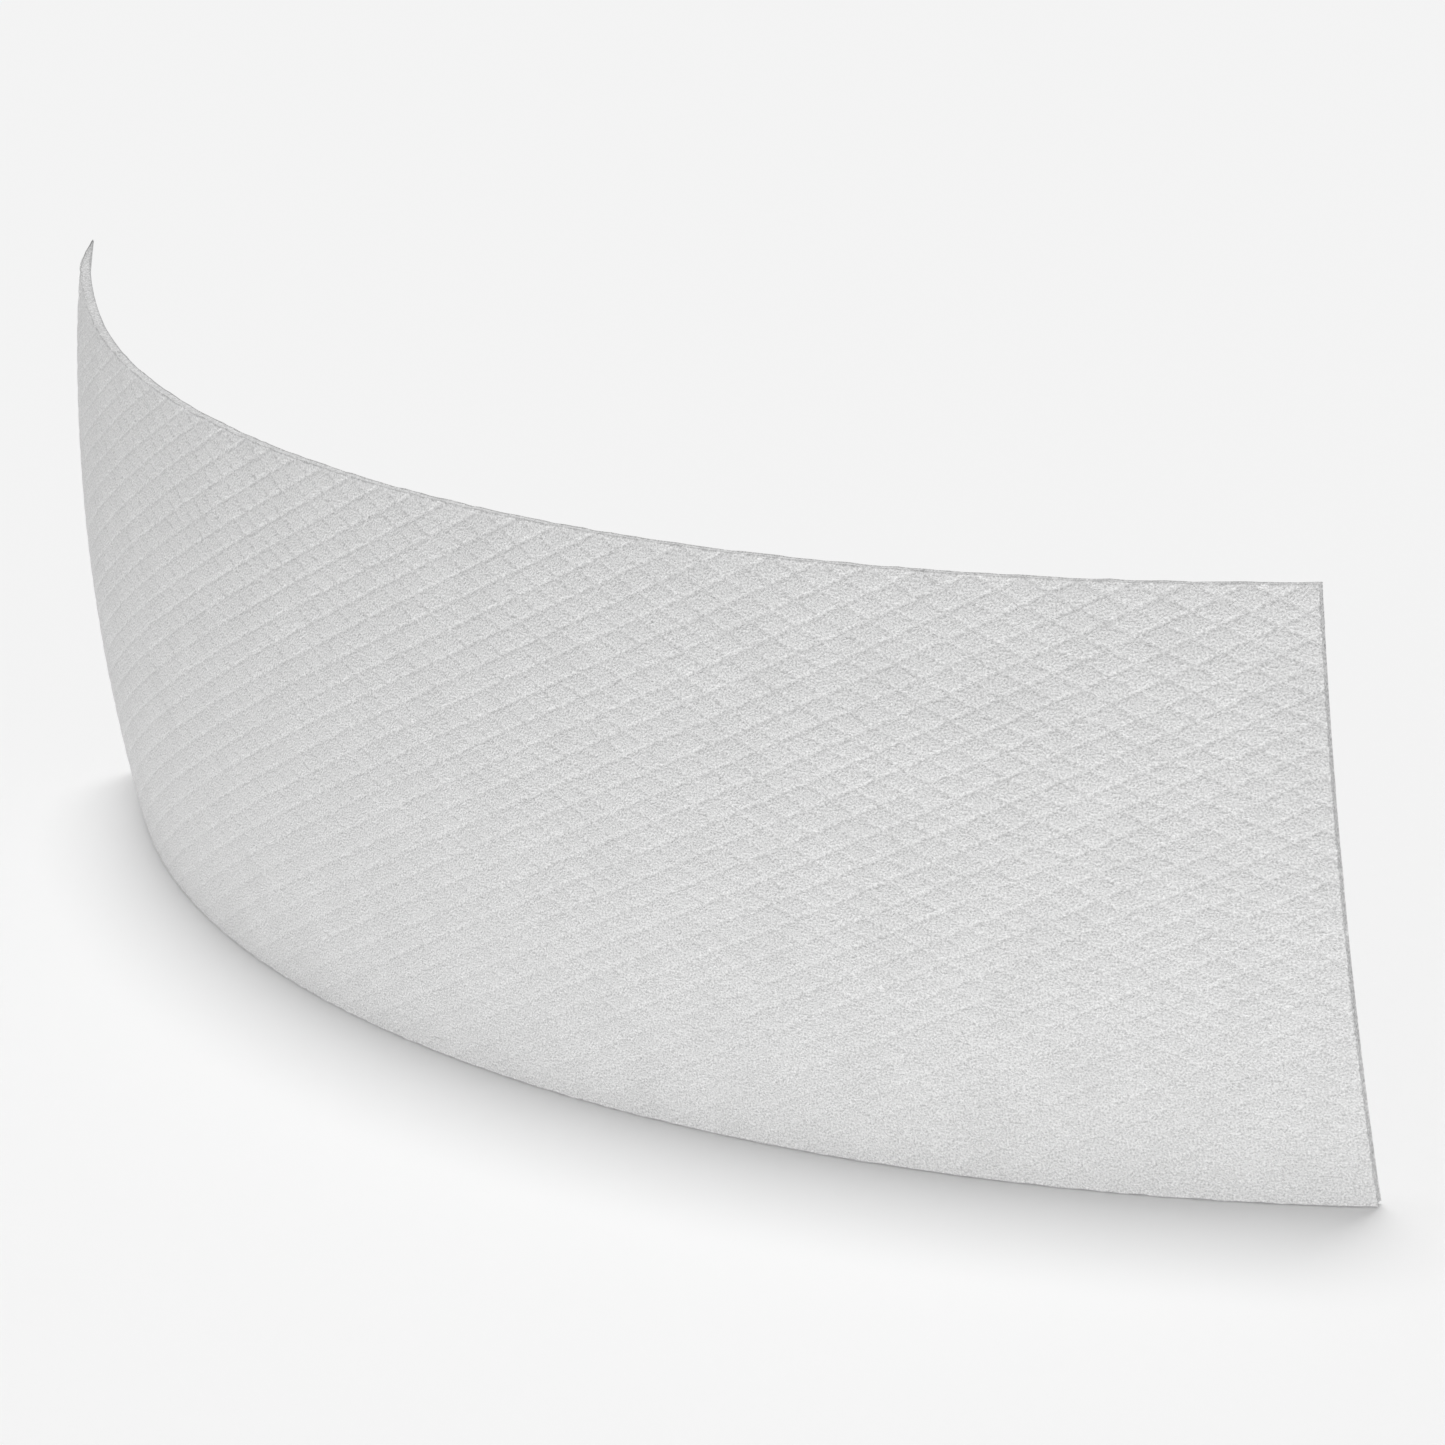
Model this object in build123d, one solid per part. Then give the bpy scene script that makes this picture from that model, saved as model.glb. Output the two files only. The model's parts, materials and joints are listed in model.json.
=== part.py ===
"""A closed-cell foam sleeping pad, standing on one long edge and bent in a long open curl.

The real pad is one flexible sheet of three bonded layers. A rigid-body model can't bend a sheet, so the
sheet is cut across its length into equal strips, and each strip keeps its own stretch of every layer.
Upright hinge lines at mid thickness join neighbouring strips: turned back by its fold angle, each one
leaves the pad flat, and turned further, it curls the pad up.

Frame: millimetres, +Z up along the pad's width, +X along the middle strip towards strip 01, and the
embossed face of the middle strip looks along -Y. The origin is the centre of the bounding box's floor.
"""

from build123d import *
import os
from math import cos, radians, sin

# The sheet
pad_length = 1900.0
pad_width = 500.0
face_skin_thickness = 1.5
foam_core_thickness = 7.5
back_skin_thickness = 1.0
pad_thickness = face_skin_thickness + foam_core_thickness + back_skin_thickness

# The strips
strip_count = 19
strip_pitch = pad_length / strip_count
strip_gap = 3.0
middle_strip = (strip_count + 1) // 2

# The curl: fold angles in degrees, at the middle of the pad and at its outermost hinge lines
middle_fold = 3.30
end_fold = 4.00

# Each layer: its name, its thickness, and how far its front lies behind the embossed face
layers = [
    ("face_skin", face_skin_thickness, 0.0),
    ("foam_core", foam_core_thickness, face_skin_thickness),
    ("back_skin", back_skin_thickness, face_skin_thickness + foam_core_thickness),
]


def fold_angle(hinge):
    """Degrees between strips `hinge` and `hinge + 1`; the curl is a little tighter towards both ends."""
    from_middle = (2 * hinge - strip_count) / (strip_count - 2)
    return middle_fold + (end_fold - middle_fold) * from_middle**2


def walk_from_middle(side):
    """(strip number, centre x, centre y, heading) going outwards; side +1 is +X, and side -1 is -X."""
    number, x, y, heading = middle_strip, 0.0, 0.0, 0.0
    places = []
    while 1 <= number <= strip_count:
        places.append((number, x, y, heading))
        x += side * cos(radians(heading)) * strip_pitch / 2
        y += sin(radians(heading)) * strip_pitch / 2
        heading += fold_angle(number - 1 if side > 0 else number)
        number -= side
        x += side * cos(radians(heading)) * strip_pitch / 2
        y += sin(radians(heading)) * strip_pitch / 2
    return places


def strip_places():
    """{strip number: (centre x, centre y, turn about Z)} before the origin is moved to the box's centre."""
    places = {}
    for side in (1, -1):
        for number, x, y, heading in walk_from_middle(side):
            places[number] = (x, y, side * heading)
    return places


def strip_ends(number):
    """Where a strip starts and stops along its own X: half a gap short of each hinge line it has."""
    low_end = strip_pitch / 2 - (0 if number == strip_count else strip_gap / 2)
    high_end = strip_pitch / 2 - (0 if number == 1 else strip_gap / 2)
    return -low_end, high_end


def strip_layer(number, thickness, depth, place):
    """One layer of one strip: a slab whose front face lies `depth` behind the embossed face."""
    x, y, turn = place
    low_end, high_end = strip_ends(number)
    across = depth + thickness / 2 - pad_thickness / 2
    slab = Pos((low_end + high_end) / 2, across, pad_width / 2)
    slab *= Box(high_end - low_end, thickness, pad_width)
    return Location((x, y, 0), (0, 0, turn)) * slab


def build():
    """{node name: solid}, with the origin at the bottom centre of the bounding box."""
    nodes = {}
    for number, place in sorted(strip_places().items()):
        for name, thickness, depth in layers:
            nodes[f"{name}_{number:02d}"] = strip_layer(number, thickness, depth, place)
    box = Compound(list(nodes.values())).bounding_box()
    middle = Pos(-(box.min.X + box.max.X) / 2, -(box.min.Y + box.max.Y) / 2, 0)
    return {name: middle * solid for name, solid in nodes.items()}


os.makedirs("parts", exist_ok=True)
for node, solid in build().items():
    solid.label = node
    export_step(solid, f"parts/{node}.step")
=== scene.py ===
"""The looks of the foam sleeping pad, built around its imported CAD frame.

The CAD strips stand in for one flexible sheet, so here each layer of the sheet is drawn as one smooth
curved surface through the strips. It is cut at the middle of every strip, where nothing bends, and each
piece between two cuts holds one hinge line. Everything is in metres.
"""

import json
import math

import bpy
import numpy as np
from mathutils import Matrix, Vector


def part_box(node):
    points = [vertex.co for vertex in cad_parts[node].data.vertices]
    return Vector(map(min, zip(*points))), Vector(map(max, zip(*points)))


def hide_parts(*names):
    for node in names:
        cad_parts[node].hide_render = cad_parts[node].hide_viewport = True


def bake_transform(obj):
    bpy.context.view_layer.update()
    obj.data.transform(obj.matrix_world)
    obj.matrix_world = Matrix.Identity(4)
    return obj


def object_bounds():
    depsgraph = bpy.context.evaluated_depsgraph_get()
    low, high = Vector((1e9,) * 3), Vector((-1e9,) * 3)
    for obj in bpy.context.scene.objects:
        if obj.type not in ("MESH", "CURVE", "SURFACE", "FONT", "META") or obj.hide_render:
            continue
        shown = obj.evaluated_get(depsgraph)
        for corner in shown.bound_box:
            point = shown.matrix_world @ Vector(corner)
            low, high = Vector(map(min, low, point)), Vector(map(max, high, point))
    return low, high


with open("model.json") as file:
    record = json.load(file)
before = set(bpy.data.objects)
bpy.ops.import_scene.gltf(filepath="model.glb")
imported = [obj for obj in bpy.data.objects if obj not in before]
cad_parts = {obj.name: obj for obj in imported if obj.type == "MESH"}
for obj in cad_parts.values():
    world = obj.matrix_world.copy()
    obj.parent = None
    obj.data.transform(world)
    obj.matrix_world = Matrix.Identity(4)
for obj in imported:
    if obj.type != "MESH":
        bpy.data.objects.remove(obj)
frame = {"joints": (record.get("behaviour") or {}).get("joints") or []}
cad_low, cad_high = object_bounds()
MM = 0.001

# The sheet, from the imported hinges: hinge line k lies between strip k and strip k + 1
hinges = sorted(frame["joints"], key=lambda joint: joint["name"])
hinge_points = np.array([hinge["pos_m"][:2] for hinge in hinges])
fold_angles = np.radians([-hinge["range_deg"][0] for hinge in hinges])
strip_count = len(hinges) + 1
middle_strip = (strip_count + 1) // 2
strip_pitch = float(np.linalg.norm(hinge_points[1] - hinge_points[0]))
pad_length = strip_count * strip_pitch
pad_width = cad_high.z - cad_low.z

# The layers: record slot, CAD node, and the depths where each starts and stops
layer_slots = {"face_skin": "embossed_skin", "foam_core": "cut_foam", "back_skin": "plain_skin"}
middle_boxes = {layer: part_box(f"{layer}_{middle_strip:02d}") for layer in layer_slots}
face_y = middle_boxes["face_skin"][0].y
layer_depths = {layer: (low.y - face_y, high.y - face_y) for layer, (low, high) in middle_boxes.items()}
pad_thickness = layer_depths["back_skin"][1]

# How the standing sheet departs from a plain upright curl: it bows across its width, leans a little more
# towards the far end, and lifts at its far top corner
near_bow = 19.0 * MM
far_bow = 21.4 * MM
bow_centre = 13.0 * MM
far_swell = 6.0 * MM
twist = 8.4 * MM
far_lift = 23.0 * MM
lift_start = 0.81
chord_share = 0.9957

# The far top corner is curled back and pinched thin, so that it ends in a point
corner_reach = 72.0 * MM
corner_curl = 7.5 * MM
corner_pinch = 0.88
corner_ease = 1.5

# The embossing: rows of lozenges, each touching its neighbours along straight grooves. It is pressed deeper
# towards the top and in patches, and fades towards the far end
cells_along = 41
cells_across = 24
cell_length = pad_length / cells_along
cell_width = pad_width / cells_across
near_end_phase = 0.70
groove_pitch = 1 / math.hypot(1 / cell_length, 1 / cell_width)
groove_half_width = 4.0 * MM
groove_depth = 0.52 * MM
groove_power = 1.5
pillow_crown = 0.26 * MM
upward_press = 1.4
patchy_press = 0.25
press_patch = 110.0 * MM
far_fade = 0.45
fade_start = 0.62

# How uneven the two faces are between their features, and how large each uneven patch is
face_uneven = 0.12 * MM
face_patch = 14.0 * MM
back_uneven = 0.2 * MM
back_patch = 60.0 * MM

# The cut edges
edge_radius = 0.9 * MM
core_inset = 0.8 * MM
cut_roughness = 0.7 * MM
cut_cell = 2.6 * MM
cut_cell_stretch = 3
edge_wander = 0.5 * MM
wander_length = 9.0 * MM
side_sharpness = 40
end_sharpness = 200

# The foam's colour: how large its grains, patches, scuffs, dark edge lines and specks are, and how far the
# scuffs and dark edge lines reach in from a cut edge
grain_size = 1.8 * MM
tone_patch = 60.0 * MM
scuff_size = 4.0 * MM
edge_line_size = 9.0 * MM
speck_size = 7.0 * MM
edge_mark_reach = 3.5 * MM

# How finely the meshes are divided
face_steps = 16
back_steps = 4
core_steps = 3
skin_rim_steps = 2
core_rim_steps = 6
path_points = 4001
knot_count = 2048

floor_gap = 0.5 * MM


def ripple(position, wavelength, seed):
    """Smooth seeded noise from -1 to 1 along a line, with about one bump to each wavelength."""
    knots = np.random.default_rng(seed).uniform(-1, 1, knot_count)
    cell = position / wavelength + knot_count / 2
    index = np.floor(cell).astype(int)
    share = cell - index
    share = share * share * (3 - 2 * share)
    return knots[index % knot_count] * (1 - share) + knots[(index + 1) % knot_count] * share


def patches(along, across, wavelength, seed):
    """Smooth seeded noise over the sheet, from three ripples that cross each other."""
    turns = np.radians([10.0, 70.0, 130.0])
    waves = [ripple(along * math.cos(a) + across * math.sin(a), wavelength, seed + k)
             for k, a in enumerate(turns)]
    return sum(waves) / len(turns)


def sheet_path():
    """Tables of distance along the sheet, heading, x and y of its mid line, from the far end on."""
    across_strips = hinge_points[:-1] - hinge_points[1:]
    inner = np.arctan2(across_strips[:, 1], across_strips[:, 0])
    first = inner[0] + fold_angles[0]
    last = inner[-1] - fold_angles[-1]
    headings = [first + fold_angles[0], first, *inner, last, last - fold_angles[-1]]
    centres = (middle_strip - np.arange(strip_count + 2)) * strip_pitch
    along = np.linspace(-pad_length / 2, pad_length / 2, path_points)
    heading = np.interp(along, centres[::-1], headings[::-1])
    step = along[1] - along[0]

    def running_total(values):
        total = np.concatenate([[0.0], np.cumsum((values[1:] + values[:-1]) / 2) * step])
        return total - total[len(total) // 2]

    start = hinge_points[middle_strip - 2:middle_strip].mean(axis=0)
    x = start[0] + running_total(np.cos(heading))
    y = start[1] + running_total(np.sin(heading))
    return along, heading, x, y


path = sheet_path()


def corner_share(along, across):
    """1 at the far top corner, easing to 0 at the corner's reach."""
    distance = np.hypot(along + pad_length / 2, across - pad_width / 2)
    return np.clip(1 - distance / corner_reach, 0, 1) ** corner_ease


def place(along, across, depth):
    """Points of the pad: distances along and across it from its middle, and behind its face."""
    heading, x, y = (np.interp(along, path[0], table) for table in path[1:])
    share = 0.5 - along / pad_length
    height = across / (pad_width / 2)
    bow = near_bow + (far_bow - near_bow) * share
    offset = bow * (1 - height**2) - bow_centre + far_swell * share**3 - twist * share * height
    slope = (-2 * bow * height - twist * share) / (pad_width / 2)
    level = 1 / np.sqrt(1 + slope**2)
    corner = corner_share(along, across)
    proud = (pad_thickness / 2 - depth) * (1 - corner_pinch * corner)
    out = offset + proud * level - corner_curl * corner
    rise = np.clip((share - lift_start) / (1 - lift_start), 0, 1) ** 2
    lift = far_lift * rise * (1 + height) / 2
    z = cad_low.z + pad_width / 2 + across * chord_share + lift - proud * slope * level
    return np.stack([x + np.sin(heading) * out, y - np.cos(heading) * out, z], axis=-1)


def edge_fall(distance):
    """How far a face falls away near a cut edge, as a quarter round of the edge radius."""
    inside = np.clip(edge_radius - distance, 0, edge_radius)
    return edge_radius - np.sqrt(edge_radius**2 - inside**2)


def edge_distance(along, across):
    """The distance to the nearest cut edge."""
    return np.minimum(pad_length / 2 - np.abs(along), pad_width / 2 - np.abs(across))


def groove_share(along, across):
    """1 along the middle of a groove, falling to 0 at its shoulders, and 0 on the pillows."""
    cell_s = near_end_phase - (pad_length / 2 - along) / cell_length
    cell_t = across / cell_width
    nearest = np.minimum(np.abs((cell_s + cell_t) % 1 - 0.5), np.abs((cell_s - cell_t) % 1 - 0.5))
    return np.clip(1 - nearest * groove_pitch / groove_half_width, 0, 1)


def embossed_depth(along, across):
    """The embossed face: sharp-bottomed grooves with soft shoulders round gently crowned pillows."""
    cell_s = near_end_phase - (pad_length / 2 - along) / cell_length
    cell_t = across / cell_width
    crown = np.abs(np.cos(math.pi * (cell_s + cell_t)) * np.cos(math.pi * (cell_s - cell_t)))
    press = 1 + patchy_press * patches(along, across, press_patch, seed=11)
    press += upward_press * across / pad_width
    share = 0.5 - along / pad_length
    press *= 1 - far_fade * np.clip((share - fade_start) / (1 - fade_start), 0, 1)
    groove = groove_depth * press * groove_share(along, across) ** groove_power
    uneven = face_uneven * patches(along, across, face_patch, seed=21)
    return groove + pillow_crown * (1 - crown) + uneven + edge_fall(edge_distance(along, across))


def plain_depth(along, across):
    """The plain back: only gently uneven, with its edges eased."""
    uneven = back_uneven * patches(along, across, back_patch, seed=31)
    return pad_thickness + uneven - edge_fall(edge_distance(along, across))


def level_depth(depth):
    """A face between two layers, at one depth all over."""
    return lambda along, across: np.full_like(along, depth)


def divisions(steps):
    """(stations along, rows across) of a grid that follows the lozenges, with the piece cuts in it."""
    ease = edge_radius * np.array([0.0, 0.08, 0.3, 0.6])
    cuts = (middle_strip - np.arange(1, strip_count + 1)) * strip_pitch
    ends = pad_length / 2 - ease
    fixed = np.concatenate([cuts, ends, -ends])
    stations = pad_length / 2 - np.arange(0, cells_along * steps + 1) / steps * cell_length
    stations -= (near_end_phase * steps % 1) / steps * cell_length
    clear = np.abs(stations[:, None] - fixed[None, :]).min(axis=1) > 0.3 * cell_length / steps
    inside = np.abs(stations) < pad_length / 2 - edge_radius
    stations = np.sort(np.concatenate([stations[clear & inside], fixed]))
    rows = np.linspace(-pad_width / 2, pad_width / 2, cells_across * steps + 1)[1:-1]
    rows = rows[np.abs(rows) < pad_width / 2 - edge_radius]
    rim = pad_width / 2 - ease
    rows = np.sort(np.concatenate([rows, rim, -rim]))
    return stations, rows


def surface(stations, rows, depth_of, inset, seed):
    """A grid of points over one face of a layer, and the same points' flat coordinates."""
    along, across = np.meshgrid(stations, rows, indexing="ij")
    depth = depth_of(along, across)
    side = np.sign(across) * np.clip((np.abs(across) / (pad_width / 2)), 0, 1) ** side_sharpness
    top_wander = ripple(along, wander_length, seed)
    bottom_wander = ripple(along, wander_length, seed + 1)
    wander = np.where(across > 0, top_wander, bottom_wander)
    across = across - side * (inset + edge_wander * wander)
    along = along - np.sign(along) * (np.abs(along) / (pad_length / 2)) ** end_sharpness * inset
    return place(along, across, depth), np.stack([along, across, depth], axis=-1)


def grid_normals(points):
    """Unit normals of a grid of points, on the side from which its second index turns left."""
    normals = np.cross(np.gradient(points, axis=0), np.gradient(points, axis=1))
    return normals / np.maximum(np.linalg.norm(normals, axis=-1, keepdims=True), 1e-12)


def border(count_along, count_across):
    """Index pairs round a grid's border, from the far lower corner towards +X, one list for each side."""
    last_i, last_j = count_along - 1, count_across - 1
    return {
        "bottom": [(i, 0) for i in range(last_i + 1)],
        "near_end": [(last_i, j) for j in range(last_j + 1)],
        "top": [(i, last_j) for i in range(last_i, -1, -1)],
        "far_end": [(0, j) for j in range(last_j, -1, -1)],
    }


def roughen(points, flat, rim_steps):
    """Lets the inside rows of a rim wander in and out, as a cut through foam cells does."""
    outward = -grid_normals(points)
    bump = patches(flat[..., 0] + flat[..., 1], flat[..., 2] * cut_cell_stretch, cut_cell, seed=61)
    bump[:, [0, rim_steps]] = 0
    return points + outward * (cut_roughness * bump)[..., None]


def layer_mesh(name, front, back, rim_steps, cut_sides):
    """A closed mesh between two faces, with its own shading normals so that pieces meet unseen.

    front and back are (points, flat coordinates, normals) of matching grids."""
    count_i, count_j = front[0].shape[:2]
    ids = np.arange(count_i * count_j).reshape(count_i, count_j)
    front_quads = np.stack([ids[:-1, :-1], ids[1:, :-1], ids[1:, 1:], ids[:-1, 1:]], axis=-1)
    back_quads = np.stack([ids[:-1, :-1], ids[:-1, 1:], ids[1:, 1:], ids[1:, :-1]], axis=-1)
    points = [front[0].reshape(-1, 3), back[0].reshape(-1, 3)]
    flats = [front[1].reshape(-1, 3), back[1].reshape(-1, 3)]
    face_total = ids.size
    quads = [front_quads.reshape(-1, 4), back_quads.reshape(-1, 4) + face_total]
    normals = [
        front[2].reshape(-1, 3)[quads[0]],
        back[2].reshape(-1, 3)[quads[1] - face_total],
    ]
    rims = [np.zeros(len(quads[0]), bool), np.zeros(len(quads[1]), bool)]
    shares = np.linspace(0, 1, rim_steps + 1)[None, :, None]
    sides = border(count_i, count_j)
    corner_ids = {}
    next_id = 2 * face_total
    for side, pairs in sides.items():
        i, j = np.array(pairs).T
        rim = front[0][i, j][:, None] * (1 - shares) + back[0][i, j][:, None] * shares
        rim_flat = front[1][i, j][:, None] * (1 - shares) + back[1][i, j][:, None] * shares
        if side in cut_sides:
            rim = roughen(rim, rim_flat, rim_steps)
        rim_ids = np.empty(rim.shape[:2], int)
        rim_ids[:, 0] = ids[i, j]
        rim_ids[:, -1] = ids[i, j] + face_total
        for k, pair in enumerate(pairs):
            if pair not in corner_ids:
                corner_ids[pair] = np.arange(next_id, next_id + rim_steps - 1)
                next_id += rim_steps - 1
                points.append(rim[k, 1:-1])
                flats.append(rim_flat[k, 1:-1])
            rim_ids[k, 1:-1] = corner_ids[pair]
        side_quads = np.stack(
            [rim_ids[:-1, :-1], rim_ids[:-1, 1:], rim_ids[1:, 1:], rim_ids[1:, :-1]], axis=-1
        ).reshape(-1, 4)
        rim_normals = -grid_normals(rim)
        corners = np.stack(
            [rim_normals[:-1, :-1], rim_normals[:-1, 1:], rim_normals[1:, 1:], rim_normals[1:, :-1]],
            axis=2,
        ).reshape(-1, 4, 3)
        quads.append(side_quads)
        normals.append(corners)
        rims.append(np.full(len(side_quads), side in cut_sides))
    return mesh_from_quads(name, np.concatenate(points), np.concatenate(quads), np.concatenate(normals),
                           np.concatenate(rims), np.concatenate(flats))


def mesh_from_quads(name, points, quads, normals, on_cut, flats):
    """A mesh of four-sided faces; those on a cut edge get the second material."""
    mesh = bpy.data.meshes.new(name)
    mesh.vertices.add(len(points))
    mesh.vertices.foreach_set("co", points.astype(np.float32).ravel())
    mesh.loops.add(quads.size)
    mesh.loops.foreach_set("vertex_index", quads.astype(np.int32).ravel())
    mesh.polygons.add(len(quads))
    mesh.polygons.foreach_set("loop_start", np.arange(0, quads.size, 4, dtype=np.int32))
    mesh.polygons.foreach_set("material_index", on_cut.astype(np.int32))
    mesh.update(calc_edges=True)
    mesh.polygons.foreach_set("use_smooth", np.ones(len(quads), bool))
    mesh.normals_split_custom_set(normals.reshape(-1, 3).tolist())
    write_attributes(mesh, flats)
    return mesh


def write_attributes(mesh, flat):
    """What the materials read: each point's place on the flat pad, and how near a cut edge it lies."""
    along, across = flat[:, 0], flat[:, 1]
    place_attribute = mesh.attributes.new("flat_place", "FLOAT_VECTOR", "POINT")
    place_attribute.data.foreach_set("vector", flat.astype(np.float32).ravel())
    near_edge = np.clip(1 - edge_distance(along, across) / edge_mark_reach, 0, 1)
    edge_attribute = mesh.attributes.new("edge", "FLOAT", "POINT")
    edge_attribute.data.foreach_set("value", near_edge.astype(np.float32))


# Materials

def new_material(name):
    """A node material, its node tree and its shader, and a function that adds a node with given settings."""
    material = bpy.data.materials.new(name)
    material.use_nodes = True
    tree = material.node_tree

    def add(kind, **settings):
        node = tree.nodes.new(kind)
        for key, value in settings.items():
            setattr(node, key, value)
        return node

    return material, tree, tree.nodes["Principled BSDF"], add


def noise(tree, add, source, scale, detail, roughness=0.5):
    """A noise texture laid on the flat pad, so that it stays with the foam as the pad bends."""
    node = add("ShaderNodeTexNoise")
    node.inputs["Scale"].default_value = scale
    node.inputs["Detail"].default_value = detail
    node.inputs["Roughness"].default_value = roughness
    tree.links.new(source, node.inputs["Vector"])
    return node.outputs["Fac"]


def remap(tree, add, source, low, high, to_low, to_high):
    """A value moved from one range to another, and held inside it."""
    node = add("ShaderNodeMapRange")
    for key, value in zip(("From Min", "From Max", "To Min", "To Max"), (low, high, to_low, to_high)):
        node.inputs[key].default_value = value
    tree.links.new(source, node.inputs["Value"])
    return node.outputs["Result"]


def combine(tree, add, operation, first, second):
    """Two values joined by one arithmetic step; the second may be a number."""
    node = add("ShaderNodeMath", operation=operation)
    tree.links.new(first, node.inputs[0])
    if isinstance(second, float):
        node.inputs[1].default_value = second
    else:
        tree.links.new(second, node.inputs[1])
    return node.outputs[0]


def foam_material(name, tone, grain_depth, grain_tone, edge_tone=0.0):
    """Closed-cell foam: a grey tone that varies in grains and patches, over a pebbled surface.

    With an edge tone, it is scuffed lighter near its cut edges, and darker in an irregular line along them
    in places."""
    material, tree, shader, add = new_material(name)
    where = add("ShaderNodeAttribute", attribute_name="flat_place").outputs["Vector"]
    grain = noise(tree, add, where, 1 / grain_size, 2.0, 0.6)
    patch = noise(tree, add, where, 1 / tone_patch, 3.0)
    value = remap(tree, add, grain, 0.25, 0.75, tone * (1 - grain_tone), tone * (1 + grain_tone))
    value = combine(tree, add, "MULTIPLY", value, remap(tree, add, patch, 0.3, 0.7, 0.975, 1.025))
    if edge_tone:
        edge = add("ShaderNodeAttribute", attribute_name="edge").outputs["Fac"]
        scuff = noise(tree, add, where, 1 / scuff_size, 3.0, 0.7)
        scuff = remap(tree, add, scuff, 0.55, 0.75, 0, edge_tone)
        value = combine(tree, add, "ADD", value, combine(tree, add, "MULTIPLY", scuff, edge))
        # Darker by up to a fifth in an irregular line right at the cut edges, in places
        edge_line_noise = noise(tree, add, where, 1 / edge_line_size, 2.0, 0.6)
        line = combine(tree, add, "ADD", edge_line_noise, edge)
        value = combine(tree, add, "MULTIPLY", value, remap(tree, add, line, 1.15, 1.40, 1, 0.80))
    speck = noise(tree, add, where, 1 / speck_size, 1.0)
    value = combine(tree, add, "MULTIPLY", value, remap(tree, add, speck, 0.80, 0.84, 1, 0.6))
    colour = add("ShaderNodeCombineColor")
    for channel in ("Red", "Green", "Blue"):
        tree.links.new(value, colour.inputs[channel])
    tree.links.new(colour.outputs["Color"], shader.inputs["Base Color"])
    tree.links.new(remap(tree, add, grain, 0.3, 0.7, 0.72, 0.9), shader.inputs["Roughness"])
    shader.inputs["Specular IOR Level"].default_value = 0.3
    bump = add("ShaderNodeBump")
    bump.inputs["Strength"].default_value = 1.0
    bump.inputs["Distance"].default_value = grain_depth
    tree.links.new(grain, bump.inputs["Height"])
    tree.links.new(bump.outputs["Normal"], shader.inputs["Normal"])
    return material


skin_material = foam_material("embossed_skin", 0.655, 1.6 * MM, 0.30, 0.40)
plain_material = foam_material("plain_skin", 0.64, 1.5 * MM, 0.28, 0.25)
cut_material = foam_material("cut_foam", 0.72, 2.2 * MM, 0.34)


# The pieces

def build_layer(layer, steps, front_depth, back_depth, inset, rim_steps, face_material):
    """One layer of the whole pad, as one piece for each hinge line."""
    stations, rows = divisions(steps)
    front = surface(stations, rows, front_depth, inset, seed=41)
    back = surface(stations, rows, back_depth, inset, seed=41)
    front = (*front, grid_normals(front[0]))
    back = (*back, -grid_normals(back[0]))
    for k in range(1, strip_count):
        near = pad_length if k == 1 else (middle_strip - k) * strip_pitch
        far = -pad_length if k == strip_count - 1 else (middle_strip - k - 1) * strip_pitch
        chosen = (stations > far - MM / 10) & (stations < near + MM / 10)
        cut_sides = {"bottom", "top"}
        cut_sides |= {"near_end"} if k == 1 else set()
        cut_sides |= {"far_end"} if k == strip_count - 1 else set()
        name = f"{layer}_sheet_{k:02d}"
        mesh = layer_mesh(name, [g[chosen] for g in front], [g[chosen] for g in back], rim_steps, cut_sides)
        mesh.materials.append(face_material)
        mesh.materials.append(cut_material)
        piece = bpy.data.objects.new(name, mesh)
        bpy.context.scene.collection.objects.link(piece)
        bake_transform(piece)
        stood_for = [f"{layer}_{k:02d}"]
        stood_for += [f"{layer}_{strip_count:02d}"] if k == strip_count - 1 else []
        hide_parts(*stood_for)


face_back = level_depth(layer_depths["face_skin"][1])
core_front, core_back = (level_depth(depth) for depth in layer_depths["foam_core"])
build_layer("face_skin", face_steps, embossed_depth, face_back, 0.0, skin_rim_steps, skin_material)
build_layer("foam_core", core_steps, core_front, core_back, core_inset, core_rim_steps, cut_material)
build_layer("back_skin", back_steps, core_back, plain_depth, 0.0, skin_rim_steps, plain_material)


# The floor, the light and the camera

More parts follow.
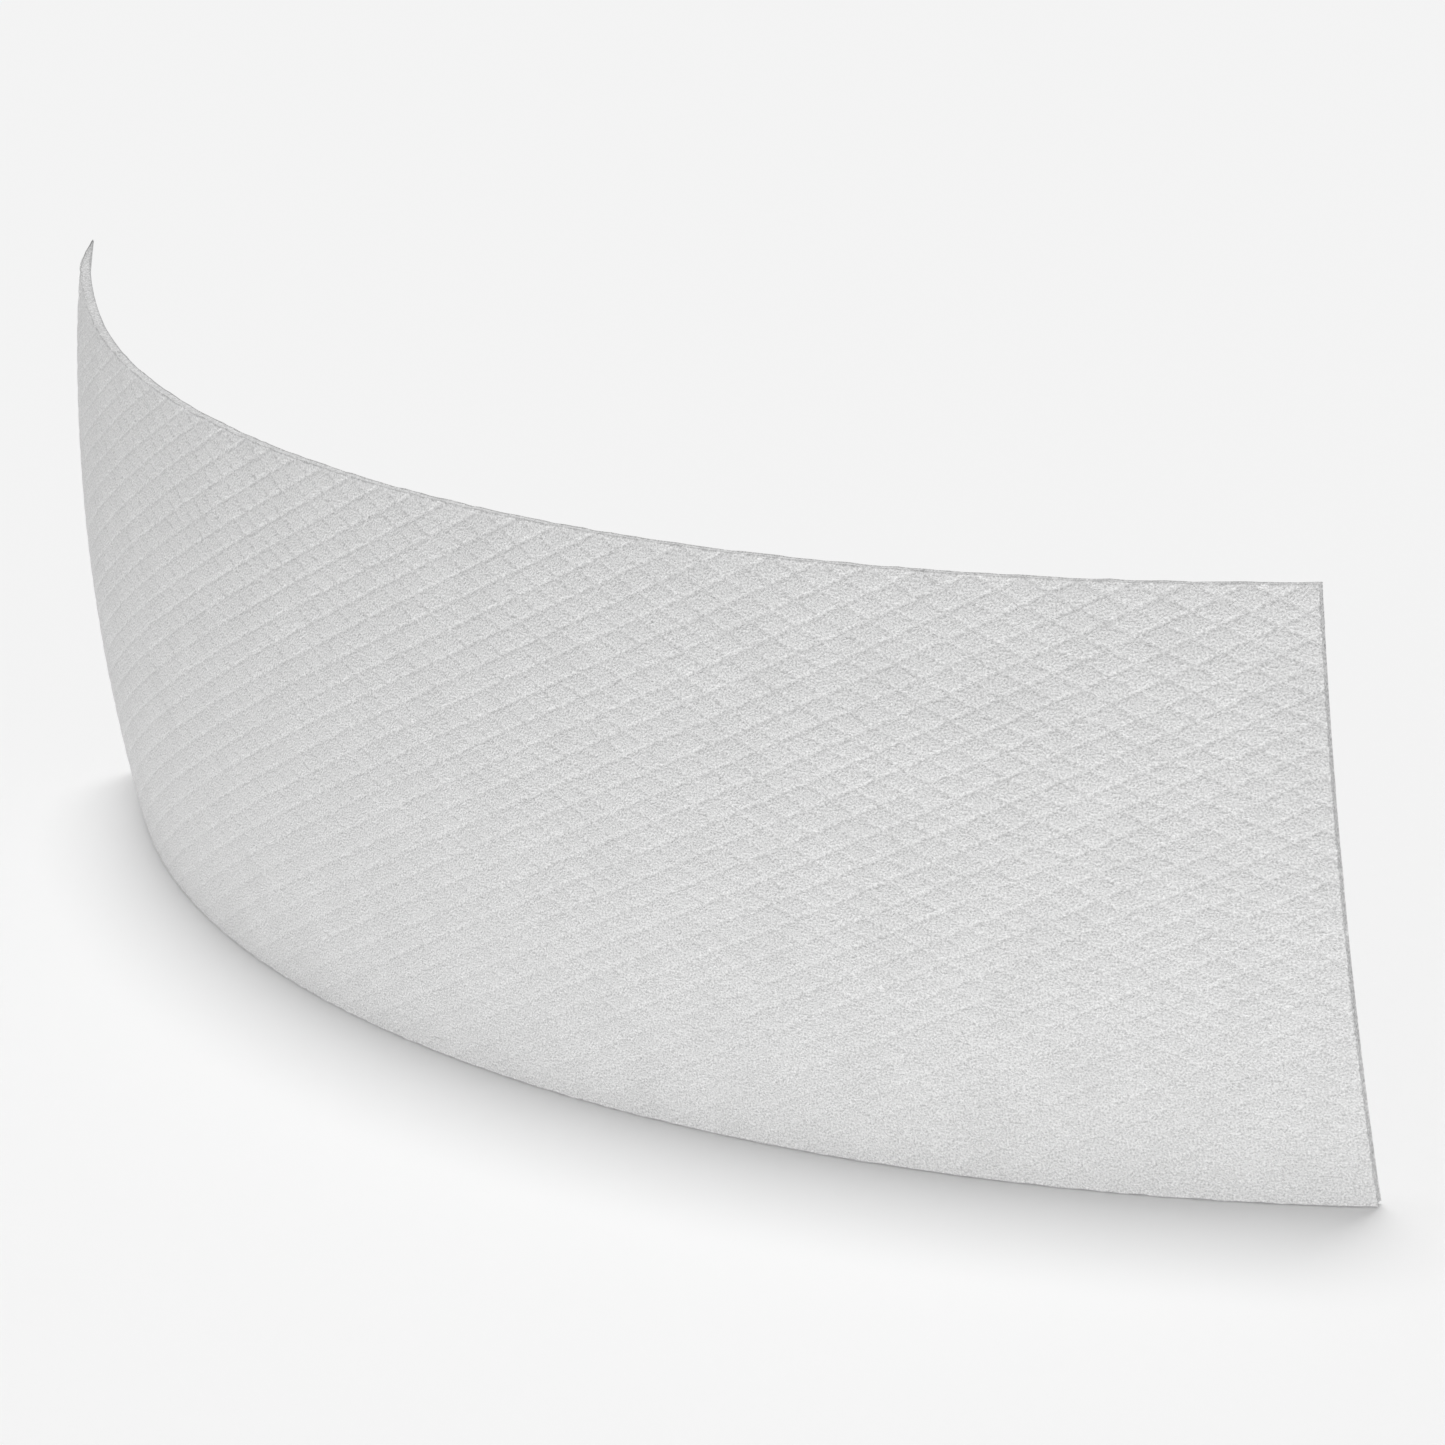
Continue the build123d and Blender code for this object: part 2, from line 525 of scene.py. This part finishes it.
def pale_floor():
    """A wide plain floor under the pad."""
    reach = 20.0
    mesh = bpy.data.meshes.new("floor")
    corners = [(-reach, -reach, 0), (reach, -reach, 0), (reach, reach, 0), (-reach, reach, 0)]
    mesh.from_pydata(corners, [], [(0, 1, 2, 3)])
    floor = bpy.data.objects.new("floor", mesh)
    floor.location.z = cad_low.z - floor_gap
    bpy.context.scene.collection.objects.link(floor)
    material, _, shader, _ = new_material("pale_floor")
    shader.inputs["Base Color"].default_value = (0.90, 0.90, 0.90, 1)
    shader.inputs["Roughness"].default_value = 1.0
    shader.inputs["Specular IOR Level"].default_value = 0.0
    mesh.materials.append(material)


def soft_sun(name, azimuth, elevation, strength, softness):
    """A broad even light from one side. Azimuth 0 is in front of the pad, and 90 is on its right."""
    light = bpy.data.lights.new(name, "SUN")
    light.energy = strength
    light.angle = math.radians(softness)
    sun = bpy.data.objects.new(name, light)
    bpy.context.scene.collection.objects.link(sun)
    a, e = math.radians(azimuth), math.radians(elevation)
    towards = Vector((math.sin(a) * math.cos(e), -math.cos(a) * math.cos(e), math.sin(e)))
    sun.rotation_mode = "QUATERNION"
    sun.rotation_quaternion = towards.to_track_quat("Z", "Y")
    return light


def studio_light():
    """Even light all round, an overhead softbox, and the glow of the floor in front, without a shadow."""
    world = bpy.data.worlds.new("studio")
    world.use_nodes = True
    background = world.node_tree.nodes["Background"]
    background.inputs["Color"].default_value = (1, 1, 1, 1)
    background.inputs["Strength"].default_value = 0.5
    bpy.context.scene.world = world
    soft_sun("overhead", azimuth=235, elevation=80, strength=1.6, softness=25)
    fill = soft_sun("floor_bounce", azimuth=36, elevation=-35, strength=1.8, softness=40)
    fill.use_shadow = False
    bpy.context.scene.view_settings.view_transform = "Standard"


def main_camera():
    """The main view: from in front and well to the right, a little above, and tilted."""
    azimuth, elevation, roll = math.radians(56.14), math.radians(17.70), math.radians(-6.98)
    aim = Vector((0.119, 0.116, 0.248))
    distance = 5.995
    back = Vector((math.sin(azimuth) * math.cos(elevation), -math.cos(azimuth) * math.cos(elevation),
                   math.sin(elevation)))
    level_right = Vector((math.cos(azimuth), math.sin(azimuth), 0))
    level_up = back.cross(level_right)
    right = level_right * math.cos(roll) + level_up * math.sin(roll)
    up = back.cross(right)
    data = bpy.data.cameras.new("main_camera")
    data.sensor_width = 36.0
    data.lens = 178.85
    camera = bpy.data.objects.new("main_camera", data)
    bpy.context.scene.collection.objects.link(camera)
    turned = Matrix((right, up, back)).transposed().to_4x4()
    camera.matrix_world = Matrix.Translation(aim + back * distance) @ turned
    bpy.context.scene.camera = camera


pale_floor()
studio_light()
main_camera()
